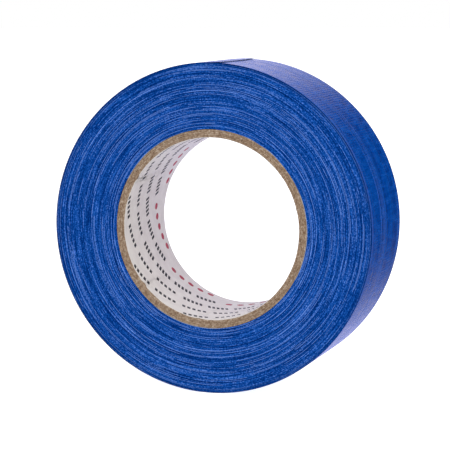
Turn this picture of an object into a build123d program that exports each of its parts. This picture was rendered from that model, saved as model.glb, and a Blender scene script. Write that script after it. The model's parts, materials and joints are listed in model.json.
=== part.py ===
"""A roll of cloth-backed adhesive tape, standing on its rim.

The axis of the roll lies along Y, its front face looks along -Y and +Z is up. The origin is the
centre of the core's bore. Angles are measured in the XZ plane from +X towards +Z. Seen from the
front the tape winds clockwise, so its radius grows as the angle falls, and its cut end lies on
top of the roll, pointing to the right.
"""
from build123d import *
from math import asin, cos, pi, radians, sin, tan
import os

# Core: a paper liner inside spirally wound strips of board
roll_width = 50.0            # width of the tape and length of the core
bore_radius = 38.1           # standard 3 inch core
liner_thickness = 0.2
ply_thickness = 0.8
ply_count = 4
strip_width = 85.0           # width of the strips that the core is wound from
seam_gap = 0.2               # gap between one turn of a strip and the next
first_seam_angle = 20.0      # where the liner's seam crosses the middle of the core
seam_stagger = 73.0          # how far each strip's seam is turned from the one inside it

# Tape: a plastic film over a woven scrim, both on a coat of adhesive
film_thickness = 0.06
scrim_thickness = 0.05
adhesive_thickness = 0.065
inner_lap_count = 156        # laps under the outermost one

# Free end of the tape
cut_angle = 86.5             # where the tape is cut across
tail_length = 25.0           # loose stretch behind the cut
tail_clearance = 0.1         # under the loose stretch
fold_clearance = 0.1         # between the loose stretch and the tape that stays stuck

# Values that follow from the sizes above
tape_thickness = film_thickness + scrim_thickness + adhesive_thickness
board_radius = bore_radius + liner_thickness
core_radius = board_radius + ply_count * ply_thickness
pack_radius = core_radius + inner_lap_count * tape_thickness
full_turn = 360.0


def save(shape, node):
    """Write one sub-part to its own file."""
    export_step(shape, f"parts/{node}.step")


def across_the_roll(sketch):
    """The solid that a sketch of the front view makes over the whole width of the roll."""
    return extrude(Plane.XZ * sketch, amount=roll_width / 2, both=True)


def tube(inner_radius, outer_radius):
    """A ring of the roll's full width, centred on its axis."""
    return across_the_roll(Circle(outer_radius) - Circle(inner_radius))


def helical_seam(inner_radius, outer_radius, middle_angle):
    """The gap that a butt-wound strip leaves, as a solid that cuts right through its ring.

    The strips climb towards the rear face as the angle grows.
    """
    mean_radius = (inner_radius + outer_radius) / 2
    climb = asin(strip_width / (2 * pi * mean_radius))
    lead = 2 * pi * mean_radius * tan(climb)
    gap_round_ring = seam_gap / sin(climb)
    margin = (outer_radius - inner_radius) / 2
    length = roll_width + 2 * margin
    twist = full_turn * length / lead
    section = Pos(mean_radius, 0) * Rectangle(outer_radius - inner_radius + 2 * margin, gap_round_ring)
    flat = Rot(0, 0, middle_angle + twist / 2) * section
    face = (Plane.XZ * flat).face().moved(Location((0, length / 2, 0)))
    return Solid.extrude_linear_with_rotation(
        face, center=(0, length / 2, 0), normal=(0, -length, 0), angle=-twist)


def core_strip(inner_radius, thickness, seam_number):
    """One strip of the core: a ring with a seam winding round it."""
    outer_radius = inner_radius + thickness
    seam_angle = first_seam_angle + seam_number * seam_stagger
    return tube(inner_radius, outer_radius) - helical_seam(inner_radius, outer_radius, seam_angle)


def direction(angle):
    """The unit vector at an angle in the front view."""
    return Vector(cos(radians(angle)), sin(radians(angle)))


def winding_arcs(offset):
    """The surface that lies an offset outside the inner laps, as four quarter arcs.

    Each arc is a quarter of the tape's thickness larger in radius than the one before, and is
    centred so that the two are tangent. The list holds (centre, radius, start angle).
    """
    step = tape_thickness / 4
    radius = pack_radius + step / 2 + offset
    centre = (direction(cut_angle - 90) - direction(cut_angle)) * (step / 2)
    arcs = []
    for quarter in range(4):
        start_angle = cut_angle - 90 * quarter
        arcs.append((centre, radius, start_angle))
        centre = centre - direction(start_angle - 90) * step
        radius += step
    return arcs


def winding_point(offset, turned):
    """The point of a winding surface that lies a number of degrees clockwise of the cut."""
    quarter = min(int(turned // 90), 3)
    centre, radius, start_angle = winding_arcs(offset)[quarter]
    return centre + direction(start_angle - (turned - 90 * quarter)) * radius


def winding_edges(offset, turned_from, turned_to):
    """The arcs of a winding surface between two angles, clockwise from the cut."""
    stops = [turned_from]
    stops += [90 * k for k in range(1, 4) if turned_from < 90 * k < turned_to]
    stops.append(turned_to)
    edges = []
    for low, high in zip(stops, stops[1:]):
        quarter = int(low // 90)
        centre, radius, start_angle = winding_arcs(offset)[quarter]
        middle = centre + direction(start_angle - ((low + high) / 2 - 90 * quarter)) * radius
        first = centre + direction(start_angle - (low - 90 * quarter)) * radius
        last = centre + direction(start_angle - (high - 90 * quarter)) * radius
        edges.append(ThreePointArc(first, middle, last))
    return edges


def wound_tape():
    """The inner laps of the tape, pressed into one body with the step of its last lap."""
    outline = winding_edges(0, 0, full_turn)
    outline.append(Line(outline[-1] @ 1, outline[0] @ 0))
    return across_the_roll(make_face(outline) - Circle(core_radius))


def tape_layer(inner_offset, thickness, turned_from, turned_to):
    """One layer of the outermost lap between two angles, clockwise from the cut."""
    inner = winding_edges(inner_offset, turned_from, turned_to)
    outer = winding_edges(inner_offset + thickness, turned_from, turned_to)
    ends = [Line(inner[0] @ 0, outer[0] @ 0), Line(inner[-1] @ 1, outer[-1] @ 1)]
    return across_the_roll(make_face(inner + outer + ends))


def save_layers(prefix, base_offset, turned_from, turned_to):
    """The adhesive, scrim and film of one stretch of the outermost lap."""
    offset = base_offset
    layers = (("adhesive", adhesive_thickness), ("scrim", scrim_thickness), ("film", film_thickness))
    for name, thickness in layers:
        save(tape_layer(offset, thickness, turned_from, turned_to), f"{prefix}_{name}")
        offset += thickness


os.makedirs("parts", exist_ok=True)

# The core, from the bore outwards
save(core_strip(bore_radius, liner_thickness, 0), "core_liner")
for ply in range(ply_count):
    ply_radius = board_radius + ply * ply_thickness
    save(core_strip(ply_radius, ply_thickness, ply + 1), f"core_ply_{ply + 1}")

# The tape: the inner laps, the outermost lap and the loose stretch at its end
save(wound_tape(), "wound_tape")
mean_lap_radius = pack_radius + 1.5 * tape_thickness
tail_start = full_turn - full_turn * tail_length / (2 * pi * mean_lap_radius)
fold_gap = full_turn * fold_clearance / (2 * pi * mean_lap_radius)
save_layers("outer_lap", 0, 0, tail_start - fold_gap)
save_layers("tape_end", tail_clearance, tail_start, full_turn)

# The loose stretch lifts about the outer edge of its root
fold_line = winding_point(tail_clearance + tape_thickness, tail_start)
tape_length = pi * ((pack_radius + tape_thickness) ** 2 - core_radius ** 2) / tape_thickness
print(f"fold line at x {fold_line.X:.4f}, z {fold_line.Y:.4f}")
print(f"tape thickness {tape_thickness:.3f}, tape length {tape_length / 1000:.1f} m")
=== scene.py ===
"""The looks of a roll of cloth-backed tape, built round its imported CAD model.

The roll stands on its rim with its axis along Y and its front face towards -Y. Places on the
tape are given in laps: lap 0 starts on the core and each lap is one turn clockwise from the cut
end, seen from the front. Every mesh carries the attribute "place": millimetres along the tape or
round the core, millimetres across it, and millimetres from the axis. It also carries a map named
"OFBake", on which no two faces overlap.
"""
import json
import math

import bmesh
import bpy
import numpy as np
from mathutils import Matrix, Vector


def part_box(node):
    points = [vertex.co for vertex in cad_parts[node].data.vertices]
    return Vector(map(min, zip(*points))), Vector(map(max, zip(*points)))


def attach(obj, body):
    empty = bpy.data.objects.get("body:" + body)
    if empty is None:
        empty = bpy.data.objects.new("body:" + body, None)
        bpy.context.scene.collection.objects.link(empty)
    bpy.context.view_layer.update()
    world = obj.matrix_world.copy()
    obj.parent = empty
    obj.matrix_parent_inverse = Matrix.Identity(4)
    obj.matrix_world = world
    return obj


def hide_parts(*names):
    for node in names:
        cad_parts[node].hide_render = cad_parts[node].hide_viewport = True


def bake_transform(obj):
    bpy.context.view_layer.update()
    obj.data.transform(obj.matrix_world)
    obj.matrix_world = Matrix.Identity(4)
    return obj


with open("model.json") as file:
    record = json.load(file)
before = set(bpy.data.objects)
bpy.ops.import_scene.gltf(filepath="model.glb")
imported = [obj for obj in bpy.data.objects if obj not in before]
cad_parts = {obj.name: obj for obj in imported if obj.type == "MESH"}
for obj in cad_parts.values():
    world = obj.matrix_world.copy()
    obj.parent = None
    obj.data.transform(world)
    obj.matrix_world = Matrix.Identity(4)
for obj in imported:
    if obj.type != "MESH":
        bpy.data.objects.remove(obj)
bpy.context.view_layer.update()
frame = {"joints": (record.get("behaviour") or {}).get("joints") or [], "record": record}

MM = 0.001
TURN = 2 * math.pi

# Sizes read from the frame
mounts = {mount["name"]: mount for mount in frame["record"]["mounts"]}
BORE_RADIUS = mounts["core_bore"]["dims"]["r_mm"] * MM
HALF_WIDTH = mounts["core_bore"]["dims"]["length_mm"] * MM / 2
CORE_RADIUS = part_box("core_ply_4")[1].x
LINER_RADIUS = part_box("core_liner")[1].x
peel = frame["joints"][0]
FOLD_POINT = Vector(peel["pos_m"])

# Sizes of the tape
FILM = 0.06 * MM
SCRIM = 0.05 * MM
ADHESIVE = 0.065 * MM
TAPE = FILM + SCRIM + ADHESIVE
CUT_ANGLE = math.radians(86.5)
PACK_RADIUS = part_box("wound_tape")[1].x - TAPE * CUT_ANGLE / TURN
INNER_LAPS = round((PACK_RADIUS - CORE_RADIUS) / TAPE)
FLOOR_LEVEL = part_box("outer_lap_film")[0].z
MEAN_RADIUS = (CORE_RADIUS + PACK_RADIUS) / 2


# ---------------------------------------------------------------- shapes in numbers

def lap_radius(lap):
    """Distance from the axis to the underside of the tape, at a number of laps from its start."""
    return CORE_RADIUS + TAPE * lap


def length_to(lap):
    """Length of tape wound so far, in metres."""
    return TURN * lap * (CORE_RADIUS + lap_radius(lap)) / 2


def lap_angle(lap):
    """Direction in the front view of a place on the tape."""
    return CUT_ANGLE - TURN * lap


def on_roll(radius, angle, across):
    """Points from polar places, as an array whose last axis is x, y, z."""
    radius, angle, across = np.broadcast_arrays(radius, angle, across)
    return np.stack([radius * np.cos(angle), across, radius * np.sin(angle)], axis=-1)


KNOTS = 4096                 # random values before wander() repeats itself


def wander(position, period, seed):
    """Smooth random values from -1 to 1, with one knot to a period."""
    place = np.asarray(position, float) / period
    index = np.floor(place).astype(int)
    share = place - index
    share = share * share * (3 - 2 * share)
    knots = np.random.default_rng(seed).uniform(-1, 1, KNOTS)
    return knots[index % KNOTS] * (1 - share) + knots[(index + 1) % KNOTS] * share


# ---------------------------------------------------------------- meshes

def wear(piece, faces, material):
    """Gives some of a piece's faces a second material."""
    piece.data.materials.append(material)
    for face in faces:
        piece.data.polygons[face].material_index = 1


def make_object(name, points, faces, place, layout, body, material):
    """A piece with the given material, riding on a body unless that is None.

    The layout holds every face corner's place on the map named OFBake.
    """
    mesh = bpy.data.meshes.new(name)
    points = np.asarray(points, np.float32).reshape(-1, 3)
    corners = np.concatenate([np.ravel(face) for face in faces]).astype(np.int32)
    ends = np.cumsum([len(face) for face in faces])
    mesh.vertices.add(len(points))
    mesh.vertices.foreach_set("co", points.ravel())
    mesh.loops.add(len(corners))
    mesh.loops.foreach_set("vertex_index", corners)
    mesh.polygons.add(len(faces))
    mesh.polygons.foreach_set("loop_start", np.append(0, ends[:-1]).astype(np.int32))
    mesh.update(calc_edges=True)
    mesh.validate()
    attribute = mesh.attributes.new("place", "FLOAT_VECTOR", "POINT")
    attribute.data.foreach_set("vector", np.asarray(place, np.float32).ravel())
    bake_map = mesh.uv_layers.new(name="OFBake")
    bake_map.data.foreach_set("uv", np.asarray(layout, np.float32).ravel())
    mesh.materials.append(material)
    piece = bpy.data.objects.new(name, mesh)
    bpy.context.scene.collection.objects.link(piece)
    if body:
        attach(piece, body)
    return piece


CORNERS = ((0, 0), (1, 0), (1, 1), (0, 1))   # a face's corners as steps along and across a grid


MAP_LOW, MAP_HIGH = 0.004, 0.996             # how far the grids reach across the map
SKIN_HIGH = 0.956                            # where a swept section's skin ends
CAP_COLUMNS = (0.964, 0.984)                 # where the faces of a swept section's caps start
CAP_COLUMN_WIDTH = 0.012
THINNEST_SHARE = 0.003                       # of a grid's whole width


def grid_layout(along, across, corners=CORNERS):
    """Face corners' places on the map, for a grid whose lines lie at these places."""
    rows, columns = len(along) - 1, len(across) - 1
    places = [np.broadcast_arrays(along[i:i + rows, None], across[None, j:j + columns])
              for i, j in corners]
    return np.stack([np.stack(pair, -1) for pair in places], 2).reshape(-1, 2)


def cell_layout(count, low, high, left, right):
    """The same for separate faces of four corners, in a column of cells."""
    start = left + (right - left) * np.arange(count) / count
    end = start + 0.85 * (right - left) / count
    corners = ((low, start), (high, start), (high, end), (low, end))
    return np.stack([np.stack([np.full(count, x), y], -1) for x, y in corners], 1).reshape(-1, 2)


def spread(widths, low, high):
    """Places of a grid's lines between two ends, from the widths between them, thin ones made wider."""
    widths = np.maximum(widths, THINNEST_SHARE * np.sum(widths))
    return low + (high - low) * np.append(0, np.cumsum(widths)) / np.sum(widths)


def ring_layout(stations, widths, cap_faces_each):
    """The map of a closed section swept along a path: its skin, then the faces of its two caps."""
    skin = grid_layout(np.linspace(MAP_LOW, SKIN_HIGH, stations + 1), spread(widths, MAP_LOW, MAP_HIGH))
    caps = [cell_layout(cap_faces_each, low, low + CAP_COLUMN_WIDTH, 0.01, 0.99) for low in CAP_COLUMNS]
    return np.concatenate([skin, *caps])


# ---------------------------------------------------------------- materials

class Nodes:
    """A material's node tree, with short calls to add to it."""

    def __init__(self, name):
        self.material = bpy.data.materials.new(name)
        self.material.use_nodes = True
        self.tree = self.material.node_tree
        self.shader = self.tree.nodes["Principled BSDF"]
        place = self.add("ShaderNodeAttribute")
        place.attribute_name = "place"
        self.place = place.outputs["Vector"]
        split = self.add("ShaderNodeSeparateXYZ")
        self.join(self.place, split.inputs[0])
        self.along, self.across, self.radius = split.outputs

    def add(self, kind, **settings):
        node = self.tree.nodes.new(kind)
        for key, value in settings.items():
            setattr(node, key, value)
        return node

    def join(self, source, target):
        if isinstance(source, (int, float, tuple)):
            target.default_value = source
        else:
            self.tree.links.new(source, target)

    def maths(self, operation, *inputs, clamp=False):
        node = self.add("ShaderNodeMath", operation=operation, use_clamp=clamp)
        for source, target in zip(inputs, node.inputs):
            self.join(source, target)
        return node.outputs[0]

    def vector(self, x, y, z=0.0):
        node = self.add("ShaderNodeCombineXYZ")
        for source, target in zip((x, y, z), node.inputs):
            self.join(source, target)
        return node.outputs[0]

    def stretched(self, along, across, depth=0.0):
        """The place with each direction multiplied."""
        return self.vector(self.maths("MULTIPLY", self.along, along),
                           self.maths("MULTIPLY", self.across, across),
                           self.maths("MULTIPLY", self.radius, depth))

    def noise(self, vector, scale, detail=2.0, roughness=0.5):
        node = self.add("ShaderNodeTexNoise")
        self.join(vector, node.inputs["Vector"])
        node.inputs["Scale"].default_value = scale
        node.inputs["Detail"].default_value = detail
        node.inputs["Roughness"].default_value = roughness
        return node.outputs["Fac"]

    def round_roll(self, around, outwards):
        """The place on a flat face of the roll, with its two directions multiplied, without a seam."""
        spot = self.add("ShaderNodeTexCoord").outputs["Object"]
        flat = self.add("ShaderNodeVectorMath", operation="MULTIPLY")
        self.join(spot, flat.inputs[0])
        flat.inputs[1].default_value = (1 / MM, 0, 1 / MM)
        unit = self.add("ShaderNodeVectorMath", operation="NORMALIZE")
        self.join(flat.outputs["Vector"], unit.inputs[0])
        length = self.add("ShaderNodeVectorMath", operation="LENGTH")
        self.join(flat.outputs["Vector"], length.inputs[0])
        ring = self.add("ShaderNodeVectorMath", operation="SCALE")
        self.join(unit.outputs["Vector"], ring.inputs[0])
        ring.inputs["Scale"].default_value = around * MEAN_RADIUS / MM
        depth = self.vector(0.0, self.maths("MULTIPLY", length.outputs["Value"], outwards))
        total = self.add("ShaderNodeVectorMath", operation="ADD")
        self.join(ring.outputs["Vector"], total.inputs[0])
        self.join(depth, total.inputs[1])
        return total.outputs["Vector"]

    def attribute(self, name):
        return self.add("ShaderNodeAttribute", attribute_name=name).outputs["Fac"]

    def sum(self, start, *terms):
        """A value plus each (amount, source) pair's product."""
        total = start
        for amount, source in terms:
            total = self.maths("MULTIPLY_ADD", source, amount, total)
        return total

    def ramp(self, value, *stops):
        """A colour for a value from 0 to 1, from stops of (place, colour)."""
        node = self.add("ShaderNodeValToRGB")
        self.join(value, node.inputs["Fac"])
        bar = node.color_ramp.elements
        while len(bar) < len(stops):
            bar.new(0.5)
        for element, (place, colour) in zip(bar, stops):
            element.position = place
            element.color = colour
        return node.outputs["Color"]

    def remap(self, value, low, high, to_low=0.0, to_high=1.0):
        node = self.add("ShaderNodeMapRange", clamp=True)
        for source, target in zip((value, low, high, to_low, to_high), node.inputs):
            self.join(source, target)
        return node.outputs[0]

    def mix(self, share, first, second):
        node = self.add("ShaderNodeMix", data_type="RGBA")
        self.join(share, node.inputs[0])
        self.join(first, node.inputs[6])
        self.join(second, node.inputs[7])
        return node.outputs[2]

    def bump(self, height, distance, strength=1.0):
        node = self.add("ShaderNodeBump")
        node.inputs["Strength"].default_value = strength
        node.inputs["Distance"].default_value = distance
        self.join(height, node.inputs["Height"])
        self.join(node.outputs[0], self.shader.inputs["Normal"])

    def finish(self, **values):
        for key, value in values.items():
            self.join(value, self.shader.inputs[key.replace("_", " ")])
        return self.material


def rgb(red, green, blue):
    return (red, green, blue, 1.0)


def weave(nodes, along_pitch, across_pitch):
    """Height of a plain weave of threads that shows through the film, from 0 to 1."""
    wobble = nodes.noise(nodes.stretched(1, 1), 0.35, detail=1)
    shift = nodes.remap(wobble, 0.0, 1.0, -0.9, 0.9)
    along = nodes.maths("MULTIPLY_ADD", nodes.along, TURN / along_pitch, shift)
    across = nodes.maths("MULTIPLY_ADD", nodes.across, TURN / across_pitch, shift)
    weft = nodes.maths("POWER", nodes.maths("ABSOLUTE", nodes.maths("SINE", along)), 3.0)
    warp = nodes.maths("POWER", nodes.maths("ABSOLUTE", nodes.maths("SINE", across)), 3.0)
    return nodes.maths("MAXIMUM", weft, nodes.maths("MULTIPLY", warp, 0.8))


def film_material():
    """Glossy blue plastic film, pulled down over the threads of its scrim, with creases along it, a painted
    highlight on its ridges and creases, and painted shade along its edges.
    """
    nodes = Nodes("blue_film")
    threads = weave(nodes, 2.4, 3.0)
    slubs = nodes.noise(nodes.stretched(0.5, 0.1), 1.0, detail=1.5)
    ridges = nodes.noise(nodes.stretched(0.006, 0.14), 1.0, detail=3, roughness=0.6)
    # tone: random mottling from the slubs and threads, and a painted highlight along the ridges
    tone = nodes.sum(-1.05, (1.2, ridges), (1.6, slubs), (0.3, threads))
    colour = nodes.ramp(tone, (0.0, rgb(0.0, 0.05, 0.32)), (0.5, rgb(0.0, 0.08, 0.43)),
                        (1.0, rgb(0.003, 0.11, 0.52)))
    contours = nodes.noise(nodes.stretched(0.003, 0.11), 1.0, detail=2)
    crease = nodes.remap(nodes.maths("ABSOLUTE", nodes.maths("SUBTRACT", contours, 0.5)), 0.022, 0.0)
    # painted highlight: a lighter blue along the creases
    colour = nodes.mix(nodes.maths("MULTIPLY", crease, 0.4), colour, rgb(0.02, 0.14, 0.58))
    nodes.bump(nodes.sum(0.0, (0.4, threads), (0.9, slubs), (7.0, ridges), (2.0, crease)), 0.15 * MM)
    rough = nodes.remap(slubs, 0.35, 0.65, 0.18, 0.28)
    # painted shade: darker blue along both edges of the film
    rim = nodes.remap(nodes.maths("ABSOLUTE", nodes.across), HALF_WIDTH / MM - 0.45, HALF_WIDTH / MM - 0.15)
    colour = nodes.mix(rim, colour, rgb(0.0, 0.045, 0.28))
    return nodes.finish(Base_Color=colour, Roughness=rough, Specular_IOR_Level=0.36,
                        Specular_Tint=rgb(0.88, 0.82, 1.0))


def edge_material():
    """The edges of the laps: deep blue film, mottled, with pale threads frayed out of some of them, painted
    shade beside those and on some recessed laps, and painted shade on the outermost laps.
    """
    nodes = Nodes("blue_lap_edges")
    grain = nodes.noise(nodes.round_roll(0.9, 1.0), 1.9, detail=1, roughness=0.6)
    threads = nodes.noise(nodes.round_roll(0.4, 2.2), 1.0, detail=2, roughness=0.6)
    patches = nodes.noise(nodes.round_roll(0.04, 0.22), 1.0, detail=3)
    streaks = nodes.noise(nodes.round_roll(0.07, 2.6), 1.0, detail=1)
    worn = nodes.remap(threads, 0.56, 0.72)
    # fray_and_shade: pale frayed threads where it is above zero, painted shade where it is below zero
    pale = nodes.sum(-1.3, (1.75, grain), (0.12, patches), (1.35, streaks), (0.15, nodes.attribute("tone")),
                     (0.2, worn), (0.8, nodes.attribute("fray_and_shade")))
    base = nodes.ramp(pale, (0.0, rgb(0.0005, 0.028, 0.198)), (0.3, rgb(0.003, 0.064, 0.348)),
                      (0.55, rgb(0.008, 0.104, 0.5)), (0.8, rgb(0.05, 0.19, 0.71)),
                      (1.0, rgb(0.16, 0.33, 0.9)))
    # painted shade: darker edges on the last laps, where the face meets the outer surface
    outermost = nodes.remap(nodes.radius, PACK_RADIUS / MM - 2.0, PACK_RADIUS / MM - 0.4)
    base = nodes.mix(nodes.maths("MULTIPLY", outermost, 0.5), base, rgb(0.0, 0.03, 0.2))
    first_lap = nodes.remap(nodes.radius, CORE_RADIUS / MM + 0.3, CORE_RADIUS / MM + 0.15)
    bare = nodes.remap(nodes.noise(nodes.round_roll(0.03, 0.0), 1.0, detail=3), 0.46, 0.56)
    base = nodes.mix(nodes.maths("MULTIPLY", first_lap, bare), base, rgb(0.55, 0.58, 0.62))
    nodes.bump(threads, 0.05 * MM)
    return nodes.finish(Base_Color=base, Roughness=0.8, Specular_IOR_Level=0.0)


def board_material():
    """Brown board: short fibres, dark and pale specks and faint layers."""
    nodes = Nodes("brown_board")
    fibres = nodes.noise(nodes.round_roll(0.4, 1.0), 1.2, detail=3, roughness=0.7)
    flecks = nodes.noise(nodes.round_roll(1.0, 1.0), 1.1, detail=2, roughness=0.7)
    across = nodes.noise(nodes.stretched(0.3, 0.8), 1.0, detail=3)
    tone = nodes.sum(-1.3, (1.9, fibres), (1.5, flecks), (0.2, across))
    base = nodes.ramp(tone, (0.0, rgb(0.22, 0.135, 0.08)), (0.35, rgb(0.31, 0.208, 0.14)),
                      (0.65, rgb(0.44, 0.32, 0.225)), (1.0, rgb(0.62, 0.5, 0.4)))
    nodes.bump(fibres, 0.15 * MM)
    return nodes.finish(Base_Color=base, Roughness=0.9, Specular_IOR_Level=0.1)


def paper_material():
    """The core's white lining paper, with a faint tooth, mottling and small scuffs."""
    nodes = Nodes("white_paper")
    mottle = nodes.noise(nodes.stretched(1, 1), 0.2, detail=4)
    tooth = nodes.noise(nodes.stretched(1, 1), 3.0, detail=3)
    scuffs = nodes.remap(nodes.noise(nodes.stretched(0.5, 1.2), 0.9, detail=3), 0.62, 0.74)
    base = nodes.mix(nodes.remap(mottle, 0.3, 0.7), rgb(0.82, 0.775, 0.73), rgb(0.92, 0.885, 0.83))
    base = nodes.mix(nodes.maths("MULTIPLY", scuffs, 0.35), base, rgb(0.55, 0.51, 0.5))
    nodes.bump(tooth, 0.03 * MM)
    return nodes.finish(Base_Color=base, Roughness=0.6, Specular_IOR_Level=0.35)


def adhesive_material():
    """The sticky side: a milky coat with the scrim's threads showing in it."""
    nodes = Nodes("milky_adhesive")
    threads = weave(nodes, 1.9, 1.6)
    base = nodes.mix(threads, rgb(0.34, 0.37, 0.42), rgb(0.6, 0.62, 0.64))
    nodes.bump(threads, 0.05 * MM)
    return nodes.finish(Base_Color=base, Roughness=0.35, Specular_IOR_Level=0.5)


def scrim_material():
    """Pale cotton threads."""
    nodes = Nodes("scrim_threads")
    threads = weave(nodes, 1.9, 1.6)
    base = nodes.mix(threads, rgb(0.1, 0.2, 0.5), rgb(0.7, 0.72, 0.78))
    nodes.bump(threads, 0.05 * MM)
    return nodes.finish(Base_Color=base, Roughness=0.85)


def ink_material(name, colour, worn):
    """Printing ink, a little patchy where the paper's tooth shows through."""
    nodes = Nodes(name)
    patches = nodes.noise(nodes.stretched(1, 1), 2.0, detail=3)
    base = nodes.mix(nodes.remap(patches, 0.45, 0.75, 0.0, 0.7), colour, worn)
    return nodes.finish(Base_Color=base, Roughness=0.6)


blue_film = film_material()
lap_edges = edge_material()
board = board_material()
paper = paper_material()
adhesive = adhesive_material()
scrim = scrim_material()
black_ink = ink_material("black_ink", rgb(0.012, 0.012, 0.016), rgb(0.08, 0.08, 0.09))
red_ink = ink_material("red_ink", rgb(0.5, 0.03, 0.07), rgb(0.65, 0.3, 0.33))


# ---------------------------------------------------------------- the wound laps

STATIONS = 360               # places round each lap
EDGE_SLOPE = 0.012 * MM      # half the radial width of the step from one lap's edge to the next
BANDS = 4                    # the laps are made in rings, one piece each
FRAYS = 470                  # pale stretches on each side of the roll
SHADES = 160                 # dark stretches of painted shade, set deeper into the face


def stretches(random, count, longest):
    """Stretches of single laps, as pairs of first and last place in laps."""
    starts = random.uniform(0, INNER_LAPS - 1, count)
    lengths = np.clip(random.lognormal(-2.5, 0.9, count), 0.012, longest)
    return list(zip(starts, starts + lengths))


def edge_relief(laps, side):
    """How far the edges lie inside the flat face of the roll, their tone, and how pale they are or how dark
    with painted shade.

    A lap that stands out gets painted shade on the one outside it, which is one turn further along the
    tape.
    """
    seed = 10 * side
    inset = 0.16 + 0.10 * wander(laps, 6.5, seed + 1) + 0.05 * wander(laps, 2.1, seed + 2)
    inset = (inset + 0.03 * wander(laps, 0.31, seed + 3)) * MM
    tone = 0.5 + 0.16 * wander(laps, 4.3, seed + 4) + 0.34 * wander(laps, 0.7, seed + 5)
    fray_and_shade = np.zeros_like(laps)
    random = np.random.default_rng(seed + 6)
    for first, last in stretches(random, FRAYS, 0.9):
        pale = random.uniform(0.1, 1.0) ** 1.4
        hit = (laps >= first) & (laps < last)
        # the lap outside a frayed stretch gets painted shade
        shaded = (laps >= first + 1) & (laps < last + 1)
        inset = np.where(hit, inset - 0.12 * MM * pale, inset)
        fray_and_shade = np.where(shaded, np.minimum(fray_and_shade, -0.55 * pale), fray_and_shade)
        fray_and_shade = np.where(hit, np.maximum(fray_and_shade, pale), fray_and_shade)
    # dark stretches: painted shade on laps that are set deeper into the face
    for first, last in stretches(random, SHADES, 0.6):
        hit = (laps >= first) & (laps < last)
        fray_and_shade = np.where(hit, -random.uniform(0.2, 0.7), fray_and_shade)
        inset = np.where(hit, inset + 0.05 * MM, inset)
    return np.maximum(inset, 0), np.clip(tone, 0, 1), fray_and_shade


def wound_band(name, first_lap, last_lap):
    """A ring of laps as one closed body: both edges of every lap, and its inner and outer faces.

    The last station of each lap is the first one of the next lap, so the tape runs on as a spiral.
    """
    count = last_lap - first_lap
    turn = np.arange(STATIONS + 1) / STATIONS
    laps = first_lap + turn[:, None] + np.arange(count)[None, :]
    angle = np.repeat(lap_angle(turn)[:, None], 2 * count, axis=1)
    inner = lap_radius(laps) + EDGE_SLOPE
    outer = lap_radius(laps + 1) - EDGE_SLOPE
    radius = np.stack([inner, outer], axis=2).reshape(STATIONS + 1, 2 * count)
    sides = []
    for side, sign in ((0, -1), (1, 1)):
        inset, tone, fray_and_shade = edge_relief(laps, side)
        inset, tone, fray_and_shade = (np.repeat(value, 2, axis=1) for value in (inset, tone, fray_and_shade))
        across = sign * (HALF_WIDTH - inset)
        place = np.stack([np.repeat(length_to(laps), 2, axis=1) / MM, across / MM, radius / MM], axis=-1)
        sides.append((on_roll(radius, angle, across), place, tone, fray_and_shade))

    # Vertex numbers: the front edges, then the back edges; the last station reuses the first one's
    per_side = STATIONS * 2 * count + 2
    ids = np.zeros((2, STATIONS + 1, 2 * count), np.int64)
    for side in (0, 1):
        grid = np.arange(STATIONS * 2 * count).reshape(STATIONS, 2 * count)
        ids[side, :STATIONS] = grid + side * per_side
        ids[side, STATIONS, :-2] = ids[side, 0, 2:]
        ids[side, STATIONS, -2:] = side * per_side + STATIONS * 2 * count + np.arange(2)

    def gathered(index):
        rows = []
        for side in (0, 1):
            values = sides[side][index]
            rows.append(values[:STATIONS].reshape(STATIONS * 2 * count, -1))
            rows.append(values[STATIONS, -2:].reshape(2, -1))
        return np.concatenate(rows)

    front, back = ids
    quads = []
    quads.append(np.stack([front[:-1, :-1], front[1:, :-1], front[1:, 1:], front[:-1, 1:]], -1))
    quads.append(np.stack([back[:-1, 1:], back[1:, 1:], back[1:, :-1], back[:-1, :-1]], -1))
    quads.append(np.stack([back[:-1, 0], back[1:, 0], front[1:, 0], front[:-1, 0]], -1))
    quads.append(np.stack([front[:-1, -1], front[1:, -1], back[1:, -1], back[:-1, -1]], -1))
    steps = []
    for p in (0, 1):
        steps.append([front[0, p], front[0, p + 1], back[0, p + 1], back[0, p]])
    rim = [(front[0, -1], back[0, -1]), (front[-1, -2], back[-1, -2]), (front[-1, -1], back[-1, -1])]
    for (a, b), (c, d) in zip(rim, rim[1:]):
        steps.append([a, b, d, c])
    faces = np.concatenate([quad.reshape(-1, 4) for quad in quads] + [np.array(steps)])

    # The map, from one side to the other: front edges, back edges, inner wall, outer wall, steps
    around = np.linspace(0.002, 0.998, STATIONS + 1)
    rows = np.tile([0.85, 0.15], count)[:-1]
    layout = [grid_layout(around, spread(rows, 0.004, 0.44)),
              grid_layout(around, spread(rows, 0.45, 0.886), CORNERS[::-1]),
              grid_layout(around, np.array([0.896, 0.916]), CORNERS[::-1]),
              grid_layout(around, np.array([0.926, 0.976])),
              cell_layout(len(steps), 0.1, 0.9, 0.984, 0.998)]
    piece = make_object(name, gathered(0), faces, gathered(1), np.concatenate(layout), "roll",
                        lap_edges)
    if last_lap == INNER_LAPS:
        wall = len(faces) - len(steps) - STATIONS
        wear(piece, range(wall, wall + STATIONS), blue_film)
    for attribute_name, index in (("tone", 2), ("fray_and_shade", 3)):
        attribute = piece.data.attributes.new(attribute_name, "FLOAT", "POINT")
        attribute.data.foreach_set("value", gathered(index).astype(np.float32).ravel())
    return piece


band_edges = [round(INNER_LAPS * k / BANDS) for k in range(BANDS + 1)]
for number, (first_lap, last_lap) in enumerate(zip(band_edges, band_edges[1:]), start=1):
    wound_band(f"wound_laps_{number}", first_lap, last_lap)
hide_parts("wound_tape")


# ---------------------------------------------------------------- the outermost lap

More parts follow.
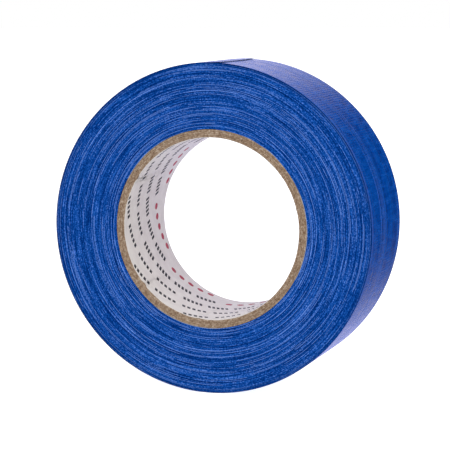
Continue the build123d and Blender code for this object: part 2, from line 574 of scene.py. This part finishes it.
LAYER_STATION = 0.9 * MM     # length of a mesh face along the tape
LAYER_ROWS = 28              # mesh faces across the tape
TAIL_LIFT = 0.35 * MM        # how far the cut end stands off
TAIL_LIFT_LENGTH = 7.0 * MM  # and over what length of tape it rises


def tape_layer(name, body, first, last, offset, thickness, material, lift=0.0):
    """One layer of the outermost lap between two places, in laps from the tape's start."""
    length = length_to(last) - length_to(first)
    count = max(4, round(length / LAYER_STATION))
    laps = np.linspace(first, last, count + 1)
    across = np.linspace(-HALF_WIDTH, HALF_WIDTH, LAYER_ROWS + 1)
    lap_grid, across_grid = np.meshgrid(laps, across, indexing="ij")
    to_end = (length_to(last) - length_to(lap_grid)) / TAIL_LIFT_LENGTH
    raised = lift * np.clip(1 - to_end, 0, 1) ** 2 * (0.75 + 0.25 * wander(across_grid, 0.012, 71))
    ridges = 0.012 * MM * wander(across_grid + 1, 0.0021, 72) * wander(lap_grid * 40, 9.0, 73)
    rim = 0.05 * MM * wander(lap_grid * 90, 1.0, 74) * np.abs(across_grid / HALF_WIDTH) ** 30
    base = lap_radius(lap_grid) + offset + raised + ridges
    angle = lap_angle(lap_grid)
    cut_wave = np.where(lap_grid >= last - 1e-9, 1.0, 0.0) * (lift > 0)
    angle = angle + cut_wave * (0.35 * MM * wander(across_grid, 0.009, 75) / PACK_RADIUS)
    across_grid = across_grid - np.sign(across_grid) * np.abs(rim)
    top = on_roll(base + thickness, angle, across_grid)
    bottom = on_roll(base, angle, across_grid)
    rows = LAYER_ROWS + 1
    points = np.concatenate([top, bottom[:, ::-1]], axis=1)
    place_top = np.stack([length_to(lap_grid) / MM, across_grid / MM, base / MM], -1)
    place = np.concatenate([place_top, place_top[:, ::-1]], axis=1)
    ring = 2 * rows
    ids = np.arange((count + 1) * ring).reshape(count + 1, ring)
    after = np.roll(ids, -1, axis=1)
    faces = [np.stack([ids[:-1], ids[1:], after[1:], after[:-1]], -1).reshape(-1, 4)]
    for row, flip in ((ids[0], True), (ids[-1], False)):
        cap = np.stack([row[:rows - 1], row[::-1][:rows - 1], row[::-1][1:rows], row[1:rows]], -1)
        faces.append(cap[:, ::-1] if flip else cap)
    edge_widths = np.full(rows - 1, 2 * HALF_WIDTH / LAYER_ROWS)
    widths = np.concatenate([edge_widths, [thickness], edge_widths, [thickness]])
    layout = ring_layout(count, widths, rows - 1)
    piece = make_object(name, points, np.concatenate(faces), place, layout, body, material)
    wear(piece, range(rows - 1, count * ring, rows), lap_edges)
    return piece


fold_angle = math.atan2(FOLD_POINT.z, FOLD_POINT.x)
tail_laps = (fold_angle - CUT_ANGLE) / TURN
outer_end = INNER_LAPS + 1
fold_lap = outer_end - tail_laps

LAYERS = (
    ("adhesive", 0.0, ADHESIVE, adhesive, "adhesive"),
    ("scrim", ADHESIVE, SCRIM, scrim, "scrim_cloth"),
    ("film", ADHESIVE + SCRIM, FILM, blue_film, "tape_film"),
)
for layer, offset, thickness, material, slot in LAYERS:
    whole = tape_layer(f"outer_{layer}", "roll", INNER_LAPS, fold_lap, offset, thickness, material)
    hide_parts(f"outer_lap_{layer}")
    tail = tape_layer(f"end_{layer}", None, fold_lap, outer_end, offset, thickness, material,
                      lift=TAIL_LIFT)
    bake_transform(tail)
    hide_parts(f"tape_end_{layer}")


# ---------------------------------------------------------------- the core

STRIP_WIDTH = 85 * MM            # the core is wound from strips of this width
STRIP_CLIMB = math.asin(STRIP_WIDTH / (TURN * BORE_RADIUS))
SEAM_GAP = 0.2 * MM              # between one turn of a strip and the next
SEAM_ROWS = 64                   # mesh faces across the core
FIRST_SEAM = math.radians(20)    # where the lining's seam crosses the middle of the core
SEAM_STAGGER = math.radians(73)  # how far each strip's seam is turned from the one inside it
PLIES = 4
BEVEL = 0.12 * MM                # off the corners of a strip, where it is thick enough
# Tears in the lining's front edge: angle and half width in degrees, depth in millimetres
TEARS = ((147.5, 1.6, 1.7), (219.5, 2.2, 1.3), (262.0, 0.9, 0.8), (33.0, 1.5, 1.2))


def core_ring(name, inner_radius, outer_radius, seam_angle, front_edge, back_edge, material,
              stations=240):
    """A strip of board or paper wound into a ring, with its two ends facing each other across a seam.

    The seam winds round the core. The two rims follow functions of the angle, in metres.
    """
    turn = np.linspace(0, 1, stations + 1)
    bevel = min(BEVEL, (outer_radius - inner_radius) / 3)
    gap = SEAM_GAP / math.sin(STRIP_CLIMB) / inner_radius
    share = np.linspace(-1, 1, SEAM_ROWS + 1)
    section = [(inner_radius, value) for value in share]
    section += [(inner_radius + bevel, 1), (outer_radius - bevel, 1)]
    section += [(outer_radius, value) for value in share[::-1]]
    section += [(outer_radius - bevel, -1), (inner_radius + bevel, -1)]
    radius = np.array([r for r, _ in section])
    level = np.array([value for _, value in section])
    on_wall = np.isclose(radius, inner_radius) | np.isclose(radius, outer_radius)
    middle = seam_angle + level * HALF_WIDTH / math.tan(STRIP_CLIMB) / inner_radius
    angle = middle + gap / 2 + turn[:, None] * (TURN - gap)
    low = -HALF_WIDTH + front_edge(angle)
    high = HALF_WIDTH - back_edge(angle)
    inset = bevel * on_wall
    across = (low + inset) * (1 - level) / 2 + (high - inset) * (1 + level) / 2
    points = on_roll(radius, angle, across)
    place = np.stack(np.broadcast_arrays(angle * radius / MM, across / MM, radius / MM), -1)
    ids = np.arange(points.shape[0] * points.shape[1]).reshape(points.shape[:2])
    after = np.roll(ids, -1, axis=1)
    faces = list(np.stack([ids[:-1], ids[1:], after[1:], after[:-1]], -1).reshape(-1, 4))
    for row, flip in ((ids[0], False), (ids[-1], True)):
        faces.extend(cap_faces(row, flip))
    outline = np.stack([radius, level * HALF_WIDTH], -1)
    widths = np.linalg.norm(np.roll(outline, -1, axis=0) - outline, axis=1)
    layout = ring_layout(stations, widths, SEAM_ROWS + 2)
    return make_object(name, points, faces, place, layout, "roll", material)


def cap_faces(row, flip):
    """Quads that close one end of a core ring: its inner wall's points against its outer wall's."""
    inner = row[:SEAM_ROWS + 1]
    outer = row[SEAM_ROWS + 3:2 * SEAM_ROWS + 4][::-1]
    quads = [[inner[k], inner[k + 1], outer[k + 1], outer[k]] for k in range(SEAM_ROWS)]
    quads.append([inner[-1], row[SEAM_ROWS + 1], row[SEAM_ROWS + 2], outer[-1]])
    quads.append([outer[0], row[-2], row[-1], inner[0]])
    return [quad[::-1] if flip else quad for quad in quads]


def rough_rim(seed, depth):
    """The inset of a slightly rough edge, as a function of the angle."""
    def inset(angle):
        wave = 0.5 + 0.3 * wander(angle * 12, 1.0, seed) + 0.2 * wander(angle * 50, 1.0, seed + 1)
        return depth * wave
    return inset


def torn_rim(seed):
    """The lining's ragged front edge, with a few tears in it."""
    rough = rough_rim(seed, 0.8 * MM)

    def inset(angle):
        depth = rough(angle)
        for middle, half_width, deep in TEARS:
            away = np.degrees(np.angle(np.exp(1j * (angle - math.radians(middle))))) / half_width
            depth = depth + deep * MM * np.clip(1.3 - np.abs(away), 0, 1)
        return depth
    return inset


for ply in range(1, PLIES + 1):
    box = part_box(f"core_ply_{ply}")
    outer = box[1].x
    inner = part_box(f"core_ply_{ply - 1}")[1].x if ply > 1 else LINER_RADIUS
    ring = core_ring(f"board_{ply}", inner, outer, FIRST_SEAM + ply * SEAM_STAGGER,
                     rough_rim(20 + ply, 0.12 * MM), rough_rim(30 + ply, 0.12 * MM), board)
    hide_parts(f"core_ply_{ply}")
lining_rim = torn_rim(40)
lining = core_ring("lining", BORE_RADIUS, LINER_RADIUS, FIRST_SEAM, lining_rim, rough_rim(50, 0.3 * MM),
                   paper, stations=480)
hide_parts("core_liner")


# ---------------------------------------------------------------- the printing inside the core

PRINTED_ROWS = 8                         # rows of print, evenly spaced round the bore
ROW_LENGTH = 2 * HALF_WIDTH / math.sin(STRIP_CLIMB)
FIRST_ROW_ANGLE = math.radians(29.3)     # where a row crosses the middle of the core
INK_RELIEF = 0.03 * MM                   # the ink stands this far off the paper
INK_ROOT = 0.06 * MM                     # and its pieces reach this far into it
PRINT_MARGIN = 0.3 * MM                  # no print nearer than this to the core's ends
DASH_SHARE = 0.6                         # of the pitch from one dash to the next
GROUP_DASHES = 5                         # dashes in each group
DOT_SIDES = 16


def dashes(along, groups, pitch, height):
    """Equal groups of plain, equal dashes: they stand for small print and form no letters."""
    marks = []
    for _ in range(groups):
        for _ in range(GROUP_DASHES):
            right, top = along + DASH_SHARE * pitch, height / 2
            marks.append([(along, -top), (right, -top), (right, top), (along, top)])
            along += pitch
        along += pitch
    return marks


def dots(along, count, spacing, radius):
    """A row of plain round dots."""
    turn = np.arange(DOT_SIDES) * TURN / DOT_SIDES
    return [list(zip(along + spacing * number + radius * np.cos(turn), radius * np.sin(turn)))
            for number in range(count)]


def clipped(arc, depth, limit):
    """The part of a convex outline whose depth is under a limit."""
    kept = []
    for k in range(len(arc)):
        here, before = depth[k], depth[k - 1]
        if (here < limit) != (before < limit):
            share = (limit - before) / (here - before)
            kept.append((arc[k - 1] + share * (arc[k] - arc[k - 1]), limit))
        if here < limit:
            kept.append((arc[k], here))
    return np.array(kept).reshape(-1, 2).T


def prism_layout(outlines):
    """The prisms' map: a square for each, with its top and its base side by side over its walls."""
    columns = math.ceil(math.sqrt(len(outlines)))
    layout = []
    for number, outline in enumerate(outlines):
        square = np.array([number % columns, number // columns]) / columns
        shape = (outline - outline.min(axis=0)) / np.ptp(outline, axis=0)
        top = (0.06, 0.36) + shape * (0.4, 0.58)
        base = (0.54, 0.36) + shape[::-1] * (0.4, 0.58)
        walls = cell_layout(len(outline), 0.06, 0.28, 0.06, 0.98)[:, ::-1]
        layout.append(square + np.concatenate([top, base, walls]) / columns)
    return np.concatenate(layout)


def print_row(name, marks, material):
    """A row's marks repeated round the bore, as thin closed prisms.

    A mark is a convex outline: millimetres along the row from the front face, and across it.
    """
    points, place, faces, outlines = [], [], [], []
    for row in range(PRINTED_ROWS):
        crossing = (FIRST_ROW_ANGLE + TURN * row / PRINTED_ROWS) * BORE_RADIUS
        for outline in marks:
            along, across = np.array(outline).T * MM
            along = along - ROW_LENGTH / 2
            arc = crossing + along * math.cos(STRIP_CLIMB) - across * math.sin(STRIP_CLIMB)
            depth = along * math.sin(STRIP_CLIMB) + across * math.cos(STRIP_CLIMB)
            front = HALF_WIDTH - PRINT_MARGIN - lining_rim(arc / BORE_RADIUS).max()
            arc, depth = clipped(arc, -depth, front)
            arc, depth = clipped(arc, -depth, HALF_WIDTH - PRINT_MARGIN)
            if len(arc) < 3:
                continue
            top = len(points) + np.arange(len(arc))
            base = top + len(arc)
            for radius in (BORE_RADIUS - INK_RELIEF, BORE_RADIUS + INK_ROOT):
                points.extend(on_roll(radius, arc / BORE_RADIUS, depth))
                place.extend(np.stack([arc, depth, np.full_like(arc, radius)], -1) / MM)
            faces.append(top)
            faces.append(base[::-1])
            faces.extend(np.stack([top, base, np.roll(base, -1), np.roll(top, -1)], -1))
            outlines.append(np.stack([arc, depth], -1))
    return make_object(name, points, faces, place, prism_layout(outlines), "roll", material)


# Sizes in millimetres
black_marks = dashes(along=4.0, groups=4, pitch=2.3, height=2.4)
black_marks += dashes(along=60.0, groups=4, pitch=1.9, height=3.2)
red_marks = dots(along=109.0, count=5, spacing=5.0, radius=1.5)
print_row("black_print", black_marks, black_ink)
print_row("red_print", red_marks, red_ink)


# ---------------------------------------------------------------- stage, lights and camera

FLOOR_REACH = 8.0            # half the side of the floor, in metres
DARK_SIDE = Vector((0.33, 0.94, 0.06)).normalized()   # the unlit part of the studio, behind the roll
DARK_CORE = math.radians(16)     # it is darkest within this angle of that direction
DARK_RIM = math.radians(36)      # and ends at this one
FRONT_GLOW = (0.78, 0.78, 0.78, 1)
BACK_GLOW = (0.92, 0.88, 1.2, 1)
FLOOR_GLOW = (0.92, 0.92, 1.4, 1)    # behind the roll, low down
BACK_FROM = 0.8                      # how far back a direction points where the back's glow is full
LOW_FROM, LOW_FULL = -0.08, -0.3     # how far down one points where the floor's glow starts and is full


def glowing(name, colour, glow):
    """A plain surface that gives off its own light."""
    material = bpy.data.materials.new(name)
    material.use_nodes = True
    shader = material.node_tree.nodes["Principled BSDF"]
    shader.inputs["Base Color"].default_value = colour
    shader.inputs["Roughness"].default_value = 0.9
    shader.inputs["Specular IOR Level"].default_value = 0.0
    shader.inputs["Emission Color"].default_value = (1, 1, 1, 1)
    shader.inputs["Emission Strength"].default_value = glow
    return material


def add_stage():
    """A white floor and a white dome: they are seen, while the world alone lights the roll."""
    mesh = bpy.data.meshes.new("floor")
    corners = [(FLOOR_REACH * x, FLOOR_REACH * y, FLOOR_LEVEL)
               for x, y in ((-1, -1), (1, -1), (1, 1), (-1, 1))]
    mesh.from_pydata(corners, [], [(0, 1, 2, 3)])
    mesh.materials.append(glowing("floor_white", (0.8, 0.8, 0.8, 1), 0.93))
    floor = bpy.data.objects.new("floor", mesh)
    mesh = bpy.data.meshes.new("dome")
    shell = bmesh.new()
    bmesh.ops.create_uvsphere(shell, u_segments=48, v_segments=24, radius=FLOOR_REACH)
    shell.to_mesh(mesh)
    shell.free()
    mesh.materials.append(glowing("dome_white", (0, 0, 0, 1), 1.0))
    dome = bpy.data.objects.new("dome", mesh)
    for backdrop in (floor, dome):
        bpy.context.scene.collection.objects.link(backdrop)
        backdrop.visible_diffuse = False
        backdrop.visible_glossy = False
        backdrop.visible_shadow = False


def add_light(name, place, target, size, power):
    light = bpy.data.lights.new(name, "AREA")
    light.shape = "RECTANGLE"
    light.size, light.size_y = size
    light.energy = power
    lamp = bpy.data.objects.new(name, light)
    lamp.location = place
    lamp.rotation_euler = (Vector(target) - Vector(place)).to_track_quat("-Z", "Y").to_euler()
    lamp.visible_glossy = False
    bpy.context.scene.collection.objects.link(lamp)


def add_world():
    """A soft white studio all round, with one unlit side behind the roll."""
    world = bpy.data.worlds.new("studio")
    bpy.context.scene.world = world
    world.use_nodes = True
    tree = world.node_tree
    direction = tree.nodes.new("ShaderNodeTexCoord")
    towards = tree.nodes.new("ShaderNodeVectorMath")
    towards.operation = "DOT_PRODUCT"
    towards.inputs[1].default_value = DARK_SIDE
    tree.links.new(direction.outputs["Generated"], towards.inputs[0])
    fall = tree.nodes.new("ShaderNodeMapRange")
    fall.interpolation_type = "SMOOTHSTEP"
    tree.links.new(towards.outputs["Value"], fall.inputs["Value"])
    for key, value in (("From Min", math.cos(DARK_CORE)), ("From Max", math.cos(DARK_RIM))):
        fall.inputs[key].default_value = value
    behind = tree.nodes.new("ShaderNodeSeparateXYZ")
    tree.links.new(direction.outputs["Generated"], behind.inputs[0])
    backdrop = tree.nodes.new("ShaderNodeMapRange")
    backdrop.interpolation_type = "SMOOTHSTEP"
    tree.links.new(behind.outputs["Y"], backdrop.inputs["Value"])
    backdrop.inputs["From Max"].default_value = BACK_FROM
    background = tree.nodes["Background"]
    tree.links.new(fall.outputs["Result"], background.inputs["Strength"])
    below = tree.nodes.new("ShaderNodeMapRange")
    below.interpolation_type = "SMOOTHSTEP"
    tree.links.new(behind.outputs["Z"], below.inputs["Value"])
    below.inputs["From Min"].default_value = LOW_FROM
    below.inputs["From Max"].default_value = LOW_FULL
    behind_colour = tree.nodes.new("ShaderNodeMix")
    colour = tree.nodes.new("ShaderNodeMix")
    for mix, share in ((behind_colour, below), (colour, backdrop)):
        mix.data_type = "RGBA"
        tree.links.new(share.outputs["Result"], mix.inputs[0])
    behind_colour.inputs[6].default_value = BACK_GLOW
    behind_colour.inputs[7].default_value = FLOOR_GLOW
    colour.inputs[6].default_value = FRONT_GLOW
    tree.links.new(behind_colour.outputs[2], colour.inputs[7])
    tree.links.new(colour.outputs[2], background.inputs["Color"])


def add_camera():
    """The camera: to the right of the axis and a little above it, with a long lens."""
    azimuth, elevation = math.radians(18.0), math.radians(6.892)
    distance = 825.4 * MM
    target = Vector((-1.647 * MM, 0, -1.128 * MM))
    back = Vector((math.sin(azimuth) * math.cos(elevation), -math.cos(azimuth) * math.cos(elevation),
                   math.sin(elevation)))
    camera = bpy.data.cameras.new("camera")
    camera.lens = 154.48
    camera.sensor_width = 36.0
    camera.clip_start = 0.01
    camera.clip_end = 3 * FLOOR_REACH
    holder = bpy.data.objects.new("camera", camera)
    holder.location = target + back * distance
    holder.rotation_euler = (-back).to_track_quat("-Z", "Y").to_euler()
    bpy.context.scene.collection.objects.link(holder)
    bpy.context.scene.camera = holder


add_stage()
add_world()
add_light("side_key", place=(0.5, -0.5, 0.9), target=(0, 0, 0), size=(0.6, 0.6), power=2.2)
add_camera()
bpy.context.scene.view_settings.view_transform = "Standard"
